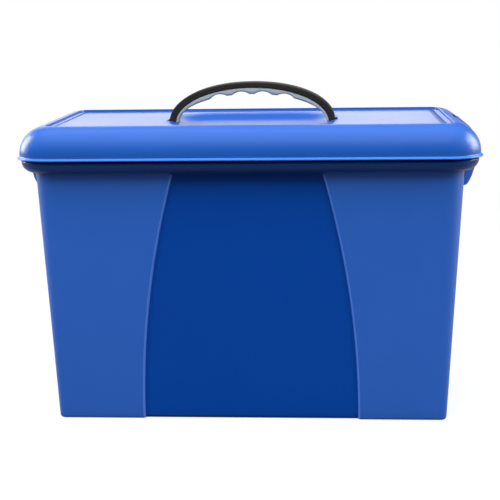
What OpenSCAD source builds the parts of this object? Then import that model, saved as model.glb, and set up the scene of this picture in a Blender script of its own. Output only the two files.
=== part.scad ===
// Portable box for suspension files: a drafted tub, a lift-off lid with a carrying handle,
// two side latches on hinge pins, and two rails inside for the files to hang on.
// Millimetres. The origin is the middle of the tub's base, +Z is up and the front faces -Y.

/* [Outer size] */
// Width over the lid's lip, left to right
lid_w = 445; // [436:1:470]
// Depth over the lid's lip, front to back
lid_d = 240; // [236:1:280]
// Height of the tub's rim, where the lid sits
rim_z = 262; // [255:1:285]
// Plan radius of the lip's corners
lip_corner_r = 36; // [34:1:40]
// Wall of the tub and the lid
wall = 2.6; // [2.2:0.1:3.0]

/* [Tub] */
// Draft of the tub's walls, in degrees
tub_draft = 2.9; // [2.5:0.1:3.1]
// How far the tub's wall stands in from the lip, just under the rim
neck_inset = 17; // [16:0.25:18]
// Height of the rolled rim
rim_h = 13; // [12:0.5:14]
// Radius of the rim's rolled underside
rim_roll_r = 11; // [10.5:0.25:11.5]
// Depth of the sunk middle panel in the front and the back
panel_sink = 3; // [2:0.5:3.5]
// Half width of the sunk panel at the base
panel_half_w = 106.8; // [90:1:115]
// Radius of the arc down each side of the sunk panel
panel_arc_r = 890; // [800:10:1200]

/* [File rails] */
// Distance between the rails, centre to centre
rail_span = 388; // [386:1:390]
// Height of a rail
rail_h = 14; // [12:1:15]
// Thickness of a rail
rail_t = 2; // [1.5:0.5:2]
// How far the rails' top edges lie below the rim
rail_drop = 11; // [11:1:16]

/* [Lid] */
// Height of the lid's crest above the rim
dome_h = 31; // [30:1:34]
// Radius of the lid's rounded shoulder
dome_r = 27; // [26:1:28]
// Depth of the tray in the lid's top
tray_sink = 2.7; // [2:0.1:3]
// Width of the ledge round the tray
ledge_w = 4.5; // [3:0.5:6]
// Depth of the hand well under the handle
well_sink = 6.3; // [5:0.1:6.5]
// Half length of the hand well
well_half_l = 86; // [80:1:90]
// Half width of the hand well
well_half_w = 72; // [60:1:76]

/* [Handle] */
// Height of the handle's arch above the tray
arch_h = 37.4; // [34:0.1:42]
// Half span of the handle, to the outside of a leg
arch_half_w = 84.2; // [83.8:0.1:84.4]
// Width of the strap, front to back
strap_w = 22; // [18:1:24]
// Thickness of the strap at its legs
strap_t = 6.9; // [6.5:0.1:7]
// Thickness of the strap at the top of its arch
strap_top_t = 5.6; // [5:0.1:6]
// How far the handle rises before its heads meet the keepers
handle_play = 3; // [2:0.5:4]

/* [Latches] */
// Width of a latch
latch_w = 94; // [80:1:96]
// Gap at each end of a latch
latch_gap = 1; // [0.8:0.1:1.5]
// Radius of a hinge pin
pin_r = 1.5; // [1.25:0.25:1.5]

/* [Hidden] */
$fn = 48;
eps = 0.02;

// Every swept shape shares these corner centres, so a profile's u is its distance out from them
corner_x = lid_w / 2 - lip_corner_r;
corner_y = lid_d / 2 - lip_corner_r;

// Tub profile
slope = tan(tub_draft);
neck_z = rim_z - rim_h;
neck_u = lip_corner_r - neck_inset;
roll_cu = lip_corner_r - 3.6 - rim_roll_r;
roll_cz = neck_z + rim_roll_r;
base_r = 3.2;
floor_t = 2.8;
function wall_u(z) = neck_u - (neck_z - z) * slope;
base_half_d = corner_y + wall_u(0);

// Rails
rail_x = rail_span / 2;
rail_top_z = rim_z - rail_drop;
rail_low_z = rail_top_z - rail_h;
rail_half_l = corner_y + 12.5;
rail_fit = 0.15;

// Lid profile
lip_h = 2.5;
lip_over = 2;
crest_z = rim_z + dome_h;
dome_cu = lip_corner_r - lip_over - dome_r;
dome_cz = crest_z - dome_r;
tray_u = dome_cu + 1.3;
tray_z = crest_z - tray_sink;
ledge_z = tray_z + 0.4;
skirt_t = 2;
skirt_u = roll_cu + rim_roll_r - wall - 1.4;
skirt_h = 5;

// Hand well
well_corner_r = 50;
well_slope_w = 24;
well_cx = well_half_l - well_corner_r;
well_cy = well_half_w - well_corner_r;

// Handle, with the arch's centre line 3 mm below the tray
arch_z = tray_z - 3;
arch_b = arch_h + 3;
leg_in_x = arch_half_w - strap_t;
slot_x0 = leg_in_x - 1.1;
slot_x1 = arch_half_w + 2;
head_half_w = strap_w / 2 + 2;
slot_half_w = head_half_w + 0.5;
pad_z = tray_z - 6.3;
keeper_t = 3;
keeper_z = pad_z - keeper_t;
head_z = keeper_z - handle_play - 0.2;
head_h = 5.8;
grip_a = 75.4;
grip_b = 28.5;
grip_w = strap_w - 1;
finger_pitch = 21.75;
finger_r = 15;
finger_cut = 2.8;
peg_r = 2;
peg_x = arch_half_w + 4.6;
peg_y = 15.5;

// Latch, in the X-Z plane of the right-hand side
dome_x = corner_x + dome_cu;
pin_x = dome_x + 14.5;
pin_z = dome_cz + 16;
barrel_r = 3.4;
bore_r = pin_r + 0.05;
cavity_r = 8.6;
latch_t = 2.8;
latch_proud = 0.9;
pocket_half_w = latch_w / 2 + latch_gap;
cheek_t = 3.5;
roll_x = corner_x + roll_cu;
roll_gap = 0.5;
mouth_r = 183;

function arc(cx, cz, r, a0, a1, n) =
    [for (i = [0 : n]) let (a = a0 + (a1 - a0) * i / n) [cx + r * cos(a), cz + r * sin(a)]];

function oval(a, b, cz, a0, a1, n) =
    [for (i = [0 : n]) let (t = a0 + (a1 - a0) * i / n) [a * cos(t), cz + b * sin(t)]];

// Points rounded to a hundredth of a millimetre, so that a sweep's pieces meet exactly
function tidy(points) = [for (p = points) [round(p[0] * 100) / 100, round(p[1] * 100) / 100]];

// A solid block with rounded corners whose sides follow a profile of [u, z] points.
// cx and cy are the half sizes of the rectangle that joins the corner centres.
module swept_block(cx, cy, outline) {
    profile = tidy(outline);
    n = len(profile);
    rotate([90, 0, 90])
        linear_extrude(height = 2 * cx, center = true)
            polygon(concat([for (p = profile) [cy + p[0], p[1]]],
                           [for (i = [n - 1 : -1 : 0]) [-cy - profile[i][0], profile[i][1]]]));
    rotate([90, 0, 0])
        linear_extrude(height = 2 * cy, center = true)
            polygon(concat([for (p = profile) [cx + p[0], p[1]]],
                           [for (i = [n - 1 : -1 : 0]) [-cx - profile[i][0], profile[i][1]]]));
    for (side = [[1, 1, 0], [-1, 1, 90], [-1, -1, 180], [1, -1, 270]])
        translate([side[0] * cx, side[1] * cy, 0])
            rotate([0, 0, side[2]])
                rotate_extrude(angle = 90)
                    polygon(concat([[0, profile[0][1]]], profile, [[0, profile[n - 1][1]]]));
}

module both_sides() {
    children();
    mirror([1, 0, 0])
        children();
}

module front_and_back() {
    children();
    mirror([0, 1, 0])
        children();
}

// A prism along Y, from points in the X-Z plane
module along_y(half_w, points) {
    rotate([90, 0, 0])
        linear_extrude(height = 2 * half_w, center = true)
            polygon(points);
}

module rod_y(x, z, r, half_l) {
    translate([x, half_l, z])
        rotate([90, 0, 0])
            cylinder(h = 2 * half_l, r = r);
}

// Tub

module tub_outside() {
    swept_block(corner_x, corner_y, concat(
        arc(wall_u(base_r) - base_r, base_r, base_r, -90, 0, 4),
        [[neck_u, neck_z]],
        arc(roll_cu, roll_cz, rim_roll_r, -90, 0, 8),
        [[roll_cu + rim_roll_r, rim_z - 1], [roll_cu + rim_roll_r - 1, rim_z]]));
}

module tub_inside() {
    inner_r = 3;
    swept_block(corner_x, corner_y, concat(
        arc(wall_u(floor_t + inner_r) - wall - inner_r, floor_t + inner_r, inner_r, -90, 0, 4),
        [[neck_u - wall, neck_z + 1]],
        arc(roll_cu, roll_cz, rim_roll_r - wall, -90, 0, 8),
        [[roll_cu + rim_roll_r - wall, rim_z + 2]]));
}

// The sunk panel's shape on the front face, from one depth to another behind that face.
// grow widens it at the first depth, and its edge slopes in at 45 degrees.
module panel_shape(depth_0, depth_1, grow, low, high) {
    h = depth_1 - depth_0;
    translate([0, -base_half_d, 0])
        rotate([-90 + tub_draft, 0, 0])
            intersection() {
                translate([panel_half_w - panel_arc_r, 0, depth_0])
                    cylinder(h = h, r1 = panel_arc_r + grow, r2 = panel_arc_r + grow - h, $fn = 360);
                translate([panel_arc_r - panel_half_w, 0, depth_0])
                    cylinder(h = h, r1 = panel_arc_r + grow, r2 = panel_arc_r + grow - h, $fn = 360);
                translate([-200, -high, depth_0])
                    cube([400, high - low, h]);
            }
}

module rail_pocket() {
    translate([rail_x - 4.2, -rail_half_l - 6, rail_low_z - 8])
        cube([8.4, 12, rail_h + 6]);
}

module tub() {
    color([0.13, 0.32, 0.66])
        difference() {
            union() {
                difference() {
                    tub_outside();
                    tub_inside();
                }
                front_and_back()
                    panel_shape(wall - 0.2, wall + panel_sink, panel_sink + 1.3, 1, neck_z + 0.6);
                intersection() {
                    tub_outside();
                    front_and_back()
                        both_sides()
                            rail_pocket();
                }
            }
            front_and_back()
                panel_shape(-1, panel_sink, panel_sink + 1, -10, neck_z - 1.5);
            both_sides()
                translate([rail_x - rail_t / 2 - rail_fit, -rail_half_l - rail_fit, rail_low_z])
                    cube([rail_t + 2 * rail_fit, 2 * (rail_half_l + rail_fit), rail_h + 20]);
        }
}

module file_rail() {
    color([0.72, 0.73, 0.75])
        translate([rail_x - rail_t / 2, -rail_half_l, rail_low_z])
            cube([rail_t, 2 * rail_half_l, rail_h]);
}

// Lid

module lid_outside() {
    swept_block(corner_x, corner_y, concat(
        [[skirt_u, rim_z - skirt_h], [skirt_u, rim_z]],
        [[lip_corner_r - 0.8, rim_z], [lip_corner_r, rim_z + 0.8],
         [lip_corner_r, rim_z + lip_h - 0.7], [lip_corner_r - 0.8, rim_z + lip_h],
         [lip_corner_r - lip_over, rim_z + lip_h + 1.1]],
        arc(dome_cu, dome_cz, dome_r, 0, 90, 18)));
}

module lid_inside() {
    swept_block(corner_x, corner_y, concat(
        [[skirt_u - skirt_t, rim_z - skirt_h - 1], [skirt_u - skirt_t, rim_z + 1.6]],
        [[skirt_u + 0.6, rim_z + 4.2]],
        arc(dome_cu, dome_cz, dome_r - wall, 0, 62, 10),
        [[dome_cu + 8, tray_z - wall]]));
}

module tray_cut() {
    swept_block(corner_x, corner_y,
        [[tray_u - ledge_w - 0.9, tray_z], [tray_u - ledge_w - 0.5, ledge_z],
         [tray_u - 0.5, ledge_z], [tray_u, crest_z + 1]]);
}

// The hand well's smooth bowl: drop lowers it and out widens it, for the underside
module well_bowl(drop, out, top_z) {
    steps = 7;
    lip = 0.4;
    swept_block(well_cx, well_cy, concat(
        [for (i = [0 : steps])
            [well_corner_r - well_slope_w + out + well_slope_w * i / steps,
             tray_z - drop - lip - (well_sink - lip) * (1 + cos(180 * i / steps)) / 2]],
        [[well_corner_r + out + top_z - tray_z + drop + lip, top_z]]));
}

// The lid's material round a latch, and the hollow cut in it
module latch_housing() {
    half_w = pocket_half_w + cheek_t;
    rod_y(pin_x, pin_z, cavity_r + wall, half_w);
    along_y(half_w, concat(
        arc(dome_x, dome_cz, dome_r - 7.5, 45, 0, 4),
        [[dome_x + dome_r - 7.5, rim_z], [dome_x + 60, rim_z], [dome_x + 60, crest_z + 10],
         [pin_x - cavity_r, crest_z + 10]]));
}

module latch_hollow() {
    rod_y(pin_x, pin_z, cavity_r, pocket_half_w);
    along_y(pocket_half_w, concat(
        arc(dome_x, dome_cz, dome_r - 4.9, 50, 0, 4),
        [[dome_x + dome_r - 4.9, rim_z - 10], [dome_x + 60, rim_z - 10], [dome_x + 60, pin_z + 3]]));
    intersection() {
        translate([dome_x + 9.2 + mouth_r, 0, pin_z])
            cylinder(h = 30, r = mouth_r, $fn = 180);
        translate([dome_x, -pocket_half_w, pin_z])
            cube([100, 2 * pocket_half_w, 30]);
    }
}

module slot_pad() {
    translate([slot_x0 - 3, -slot_half_w - 3, pad_z])
        cube([slot_x1 - slot_x0 + 6, 2 * slot_half_w + 6, tray_z - pad_z]);
    translate([slot_x0 - 7, -20, pad_z])
        cube([slot_x1 - slot_x0 + 15, 40, tray_z - wall - pad_z + 0.5]);
    for (y = [-peg_y, peg_y]) {
        translate([peg_x, y, keeper_z - 1.2])
            cylinder(h = keeper_t + 2, r = peg_r);
        translate([peg_x, y, keeper_z - 1.2])
            cylinder(h = 1.2, r = peg_r + 1.3);
    }
}

module strap_slot() {
    translate([slot_x0, -slot_half_w, pad_z - 20])
        cube([slot_x1 - slot_x0, 2 * slot_half_w, 40]);
}

module lid() {
    color([0.17, 0.41, 0.80])
        difference() {
            union() {
                difference() {
                    lid_outside();
                    lid_inside();
                }
                intersection() {
                    lid_outside();
                    both_sides()
                        latch_housing();
                }
                well_bowl(wall, 1.2, tray_z - wall + 0.5);
                both_sides()
                    slot_pad();
            }
            tray_cut();
            well_bowl(0, 0, tray_z + 1);
            both_sides() {
                strap_slot();
                latch_hollow();
                rod_y(pin_x, pin_z, pin_r + 0.01, pocket_half_w + cheek_t - 0.5);
            }
        }
}

// Handle

module handle_strap() {
    color([0.16, 0.16, 0.17]) {
        along_y(strap_w / 2, concat(
            oval(arch_half_w, arch_b, arch_z, 0, 180, 60),
            oval(leg_in_x, arch_b - strap_top_t, arch_z, 180, 0, 60)));
        both_sides() {
            translate([leg_in_x, -strap_w / 2, head_z - 1])
                cube([strap_t, strap_w, arch_z - head_z + 1]);
            along_y(head_half_w, [
                [slot_x0 + 1.4, head_z - head_h], [slot_x1 - 1.6, head_z - head_h],
                [slot_x1 - 0.4, head_z - 2], [slot_x1 - 0.4, head_z],
                [slot_x0 + 0.4, head_z], [slot_x0 + 0.4, head_z - 2]]);
        }
    }
}

// The soft grip lines the strap from foot to foot, with four hollows for the fingers
module handle_grip() {
    color([0.66, 0.71, 0.75])
        difference() {
            along_y(grip_w / 2, concat(
                oval(leg_in_x, arch_b - strap_top_t, arch_z, 0, 180, 60),
                oval(grip_a, grip_b, arch_z, 180, 0, 60)));
            for (i = [-1.5 : 1 : 1.5]) {
                x = i * finger_pitch;
                low_z = arch_z + grip_b * sqrt(1 - pow(x / grip_a, 2));
                rod_y(x, low_z + finger_cut - finger_r, finger_r, strap_w);
            }
            translate([-100, -50, tray_z - 50])
                cube([200, 100, 47.9]);
        }
}

// A plate slid over the strap's leg under the lid, and staked on two pegs
module strap_keeper() {
    color([0.22, 0.22, 0.23])
        difference() {
            translate([slot_x0 - 1, -20, keeper_z])
                cube([slot_x1 - slot_x0 + 9, 40, keeper_t]);
            translate([slot_x0 - 10, -strap_w / 2 - 0.4, keeper_z - 1])
                cube([arch_half_w + 0.4 - slot_x0 + 10, strap_w + 0.8, keeper_t + 2]);
            for (y = [-peg_y, peg_y])
                translate([peg_x, y, keeper_z - 1])
                    cylinder(h = keeper_t + 2, r = peg_r + 0.1);
        }
}

// Latches

module latch() {
    color([0.15, 0.37, 0.74])
        difference() {
            union() {
                rod_y(pin_x, pin_z, barrel_r, latch_w / 2);
                along_y(latch_w / 2, concat(
                    arc(dome_x, dome_cz, dome_r - 3.6, 54, 40, 2),
                    arc(dome_x, dome_cz, dome_r + latch_proud - latch_t, 34, 0, 5),
                    [[roll_x + rim_roll_r + roll_gap, rim_z + 1]],
                    arc(roll_x, roll_cz, rim_roll_r + roll_gap, 0, -58, 8),
                    [[roll_x + 3.5, neck_z - 0.8], [roll_x + 2.7, neck_z - 6.5],
                     [roll_x + 1.6, neck_z - 13.5], [roll_x + 0.1, neck_z - 19],
                     [roll_x + 0.5, neck_z - 20.9], [roll_x + 1.9, neck_z - 21.3],
                     [roll_x + 4.3, neck_z - 20.3], [roll_x + 6.1, neck_z - 17.9],
                     [roll_x + 7.6, neck_z - 14.9], [roll_x + 9.1, neck_z - 11.6],
                     [roll_x + 10.1, neck_z - 8], [roll_x + 11.4, neck_z - 4.2],
                     [roll_x + 13.4, neck_z], [roll_x + 14.4, neck_z + 4.5],
                     [roll_x + 14.4, neck_z + 10]],
                    arc(dome_x, dome_cz, dome_r + latch_proud, 0, 50, 10)));
            }
            rod_y(pin_x, pin_z, bore_r, latch_w);
        }
}

module latch_pin() {
    color([0.75, 0.76, 0.78])
        rod_y(pin_x, pin_z, pin_r, pocket_half_w + cheek_t - 0.5 - eps);
}

tub();
mirror([1, 0, 0]) file_rail();  // file_rail_left
file_rail();  // file_rail_right
lid();
handle_strap();
handle_grip();
mirror([1, 0, 0]) strap_keeper();  // strap_keeper_left
strap_keeper();  // strap_keeper_right
mirror([1, 0, 0]) latch();  // latch_left
latch();  // latch_right
mirror([1, 0, 0]) latch_pin();  // latch_pin_left
latch_pin();  // latch_pin_right
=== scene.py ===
"""Dresses the portable file box: builds its pieces over the frame, gives them finishes and lights them.

Sizes of the box are written in millimetres, and turned into metres where a mesh is made.
The front of the box faces -Y, +Z is up, and the origin is the middle of the base.
In the names of sizes, x, y and z are places along the axes, u is a distance out from the plan's corner
centres, r is a radius and t is a thickness.
"""
import logging
import math
from dataclasses import dataclass, field
from enum import Enum
from typing import Callable, Iterable, Optional, Union

import bmesh
import bpy
from mathutils import Matrix, Vector


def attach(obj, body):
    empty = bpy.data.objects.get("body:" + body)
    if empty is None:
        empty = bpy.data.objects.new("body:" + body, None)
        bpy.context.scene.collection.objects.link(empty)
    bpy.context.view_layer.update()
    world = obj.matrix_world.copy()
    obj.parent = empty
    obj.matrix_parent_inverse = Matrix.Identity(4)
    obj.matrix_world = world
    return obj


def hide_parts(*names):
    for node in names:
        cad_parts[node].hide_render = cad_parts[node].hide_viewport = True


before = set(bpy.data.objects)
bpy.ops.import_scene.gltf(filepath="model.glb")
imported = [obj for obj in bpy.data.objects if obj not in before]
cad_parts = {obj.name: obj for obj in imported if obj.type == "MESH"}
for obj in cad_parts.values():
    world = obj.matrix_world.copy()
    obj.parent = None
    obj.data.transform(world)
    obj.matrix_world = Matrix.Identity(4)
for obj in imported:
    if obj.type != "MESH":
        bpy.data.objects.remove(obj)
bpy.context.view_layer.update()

log = logging.getLogger("file_box")

MM = 0.001
Point2 = tuple[float, float]
Point3 = tuple[float, float, float]
Colour = tuple[float, float, float]
SlotRule = Callable[[int, int], int]
EVEN = (1.0, 1.0, 1.0)
WHITE = (1.0, 1.0, 1.0)


class Side(Enum):
    """The two ends of the box."""

    LEFT = -1
    RIGHT = 1

    @property
    def word(self) -> str:
        """The side's name, as the nodes spell it."""
        return self.name.lower()


class Edge(Enum):
    """How far a piece's edges are rounded, in millimetres."""

    CRISP = 0.25
    MOULDED = 0.5


# Shader graph


class Signal:
    """A value in a shader graph. Arithmetic on it adds Math nodes."""

    def __init__(self, graph: "Graph", socket: bpy.types.NodeSocket) -> None:
        """Wrap an output socket.

        Args:
            graph: The graph that the socket belongs to.
            socket: The output socket.
        """
        self.graph = graph
        self.socket = socket

    def _math(self, operation: str, first: "Value", second: "Value") -> "Signal":
        """Add a Math node and return its result."""
        return self.graph.node("ShaderNodeMath", {"operation": operation}, {0: first, 1: second})

    def __add__(self, other: "Value") -> "Signal":
        """Sum."""
        return self._math("ADD", self, other)

    __radd__ = __add__

    def __sub__(self, other: "Value") -> "Signal":
        """Difference."""
        return self._math("SUBTRACT", self, other)

    def __rsub__(self, other: "Value") -> "Signal":
        """Difference, from a number."""
        return self._math("SUBTRACT", other, self)

    def __mul__(self, other: "Value") -> "Signal":
        """Product."""
        return self._math("MULTIPLY", self, other)

    __rmul__ = __mul__

    def step(self, low: float, high: float) -> "Signal":
        """Rise smoothly from 0 at low to 1 at high.

        Args:
            low: The value that gives 0.
            high: The value that gives 1.

        Returns:
            The smoothed value.
        """
        return self.graph.node(
            "ShaderNodeMapRange",
            {"interpolation_type": "SMOOTHSTEP"},
            {"Value": self, "From Min": low, "From Max": high},
        )


Value = Union[float, int, Signal, tuple]


class Graph:
    """The node tree of one material or of the world."""

    def __init__(self, owner: Union[bpy.types.Material, bpy.types.World]) -> None:
        """Empty the owner's node tree.

        Args:
            owner: The material or world.
        """
        owner.use_nodes = True
        self.tree = owner.node_tree
        self.tree.nodes.clear()

    def node(self, kind: str, settings: dict[str, object], inputs: dict[Union[int, str], Value],
             out: Union[int, str] = 0) -> Signal:
        """Add a node.

        Args:
            kind: The node's type.
            settings: Its properties, set before its sockets.
            inputs: Values or signals, by socket name or number.
            out: The output socket that is wanted.

        Returns:
            The wanted output.
        """
        made = self.tree.nodes.new(kind)
        for name, value in settings.items():
            setattr(made, name, value)
        for name, value in inputs.items():
            socket = made.inputs[name]
            if isinstance(value, Signal):
                self.tree.links.new(value.socket, socket)
            elif isinstance(value, tuple) and socket.type == "RGBA":
                socket.default_value = (*value[:3], 1.0)
            else:
                socket.default_value = value
        return Signal(self, made.outputs[out])

    def place(self, stretch: Point3 = EVEN) -> Signal:
        """Return the piece's own coordinates.

        Args:
            stretch: A factor for each axis.

        Returns:
            The coordinates as a vector.
        """
        here = self.node("ShaderNodeTexCoord", {}, {}, "Object")
        if stretch == EVEN:
            return here
        return self.node("ShaderNodeVectorMath", {"operation": "MULTIPLY"}, {0: here, 1: stretch})

    def noise(self, scale: float, detail: float = 2.0, rough: float = 0.5, stretch: Point3 = EVEN) -> Signal:
        """Return soft noise.

        Args:
            scale: Features per metre.
            detail: Octaves.
            rough: Weight of the finer octaves.
            stretch: A factor for each axis.

        Returns:
            The noise, about 0.5.
        """
        inputs = {"Vector": self.place(stretch), "Scale": scale, "Detail": detail, "Roughness": rough}
        return self.node("ShaderNodeTexNoise", {}, inputs)

    def mix(self, amount: Value, first: Value, second: Value) -> Signal:
        """Mix two colours.

        Args:
            amount: 0 for the first, 1 for the second.
            first: A colour.
            second: A colour.

        Returns:
            The mixed colour.
        """
        return self.node("ShaderNodeMix", {"data_type": "RGBA"}, {0: amount, 6: first, 7: second}, 2)

    def bump(self, height: Signal, depth: float) -> Signal:
        """Turn a height into a normal.

        Args:
            height: The height, from 0 to 1.
            depth: The depth of 1, in metres.

        Returns:
            The normal.
        """
        return self.node("ShaderNodeBump", {}, {"Height": height, "Distance": depth, "Strength": 1.0})

    def rays(self) -> list[Signal]:
        """Tell the kind of ray: the camera's own, a mirrored one or one through glass.

        Returns:
            A signal for each, which is 1 where the ray is of that kind.
        """
        path = self.tree.nodes.new("ShaderNodeLightPath")
        kinds = ("Camera", "Glossy", "Transmission")
        return [Signal(self, path.outputs["Is %s Ray" % kind]) for kind in kinds]

    def surface(self, shader: Signal, kind: str = "ShaderNodeOutputMaterial") -> None:
        """Send a shader to an output node of the given kind."""
        made = self.tree.nodes.new(kind)
        self.tree.links.new(shader.socket, made.inputs["Surface"])


# Finishes


@dataclass(frozen=True)
class MouldedPlastic:
    """Moulded plastic: faint clouds, a fine grain, rubbed edges, light scuffs, and painted shade in narrow
    gaps.

    The pale colour shows in the clouds and on rubbed edges. The shade in gaps, creases and under overhangs is
    painted by an ambient-occlusion node. The grain's size and depth, and the reach of the painted shade from
    a gap, are in millimetres.
    """

    name: str
    colour: Colour
    pale: Colour
    roughness: float
    grain_mm: float
    grain_depth: float
    specular: float
    gap_shade: float
    reach_mm: float = 6.0
    flow: float = 0.35
    wear: float = 0.35

    def build(self) -> bpy.types.Material:
        """Make the material.

        Returns:
            The material.
        """
        made = bpy.data.materials.new(self.name)
        graph = Graph(made)
        cloud = graph.noise(7.0, 3.0, 0.55)
        drift = graph.noise(28.0, 2.0, 0.5, (1.0, 1.0, 0.3))
        grain = graph.noise(1.0 / (self.grain_mm * MM), 2.0, 0.6)
        pebble = graph.node(
            "ShaderNodeTexVoronoi", {"feature": "SMOOTH_F1"},
            {"Vector": graph.place(), "Scale": 0.55 / (self.grain_mm * MM), "Smoothness": 0.6})
        scratch = graph.noise(60.0, 4.0, 0.7, (1.0, 1.0, 9.0)).step(0.66, 0.74)
        edge = graph.node("ShaderNodeNewGeometry", {}, {}, "Pointiness").step(0.53, 0.60)
        rubbed = edge * graph.noise(90.0, 3.0, 0.6).step(0.35, 0.6) * self.wear
        clouds = cloud.step(0.3, 0.7) * 0.6 + drift.step(0.3, 0.7) * 0.4
        shade = clouds * self.flow + rubbed + scratch * 0.05
        # Painted shade: an ambient-occlusion node darkens the colour towards 6 percent of itself in gaps,
        # creases and under overhangs
        air = graph.node("ShaderNodeAmbientOcclusion", {"samples": 6}, {"Distance": self.reach_mm * MM}, "AO")
        gap = (1.0 - air.step(0.15, 0.95)) * self.gap_shade
        clean = graph.mix(shade, self.colour, self.pale)
        colour = graph.mix(gap, clean, tuple(c * 0.06 for c in self.colour))
        rough = self.roughness + (cloud - 0.5) * 0.10 + (grain - 0.5) * 0.08 + scratch * 0.06
        normal = graph.bump(pebble * 0.5 + grain * 0.5, self.grain_depth * MM)
        shader = graph.node("ShaderNodeBsdfPrincipled", {}, {
            "Base Color": colour, "Roughness": rough, "Normal": normal, "IOR": 1.5,
            "Specular IOR Level": self.specular})
        graph.surface(shader)
        return made


@dataclass(frozen=True)
class SoftGrip:
    """Soft grip moulded on the handle: a dry sheen, a fine matt texture and a darker tone in the hollows."""

    name: str
    colour: Colour
    dark: Colour
    roughness: float = 0.62

    def build(self) -> bpy.types.Material:
        """Make the material.

        Returns:
            The material.
        """
        made = bpy.data.materials.new(self.name)
        graph = Graph(made)
        cloud = graph.noise(40.0, 3.0, 0.6)
        hollow = 1.0 - graph.node("ShaderNodeNewGeometry", {}, {}, "Pointiness").step(0.42, 0.5)
        grain = graph.noise(1400.0, 2.0, 0.6)
        colour = graph.mix(cloud.step(0.35, 0.7) * 0.25 + hollow * 0.3, self.colour, self.dark)
        shader = graph.node("ShaderNodeBsdfPrincipled", {}, {
            "Base Color": colour, "Roughness": self.roughness + (grain - 0.5) * 0.15,
            "Normal": graph.bump(grain, 0.00012), "Sheen Weight": 0.15, "Sheen Roughness": 0.5})
        graph.surface(shader)
        return made


@dataclass(frozen=True)
class PlatedSteel:
    """Zinc-plated strip or drawn wire: fine stretched lines and cloudy patches.

    The lines have a factor for each axis.
    """

    name: str
    colour: Colour
    dull: Colour
    lines: Point3
    roughness: float

    def build(self) -> bpy.types.Material:
        """Make the material.

        Returns:
            The material.
        """
        made = bpy.data.materials.new(self.name)
        graph = Graph(made)
        lines = graph.noise(400.0, 3.0, 0.6, self.lines)
        patch = graph.node("ShaderNodeTexVoronoi", {"feature": "F1"},
                           {"Vector": graph.place(), "Scale": 160.0}, "Distance")
        stain = graph.noise(35.0, 4.0, 0.6).step(0.5, 0.75)
        colour = graph.mix(patch * 0.35 + stain * 0.5, self.colour, self.dull)
        shader = graph.node("ShaderNodeBsdfPrincipled", {}, {
            "Base Color": colour, "Metallic": 1.0 - stain * 0.15,
            "Roughness": self.roughness + (lines - 0.5) * 0.2 + stain * 0.12,
            "Normal": graph.bump(lines, 0.00003)})
        graph.surface(shader)
        return made


@dataclass(frozen=True)
class FloorPaper:
    """The pale floor: nearly white to the camera and in gloss, grey to the light that falls on the box.

    It keeps the object's shadow, and is whiter away from the box.
    """

    name: str = "floor_paper"
    white: float = 0.80
    pale: Colour = (0.85, 0.85, 0.85)
    grey: Colour = (0.10, 0.10, 0.10)

    def build(self) -> bpy.types.Material:
        """Make the material.

        Returns:
            The material.
        """
        made = bpy.data.materials.new(self.name)
        graph = Graph(made)
        camera, glossy, through = graph.rays()
        clamped = {"operation": "ADD", "use_clamp": True}
        seen = graph.node("ShaderNodeMath", clamped, {0: camera + glossy, 1: through})
        paper = graph.node("ShaderNodeBsdfDiffuse", {}, {"Color": graph.mix(seen, self.grey, self.pale)})
        glow = graph.node("ShaderNodeEmission", {}, {"Color": WHITE, "Strength": 1.0})
        away = graph.node("ShaderNodeVectorMath", {"operation": "LENGTH"}, {0: graph.place()}, "Value")
        white = self.white + away.step(0.3, 1.1) * (1.0 - self.white)
        graph.surface(graph.node("ShaderNodeMixShader", {}, {0: seen * white, 1: paper, 2: glow}))
        return made


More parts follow.
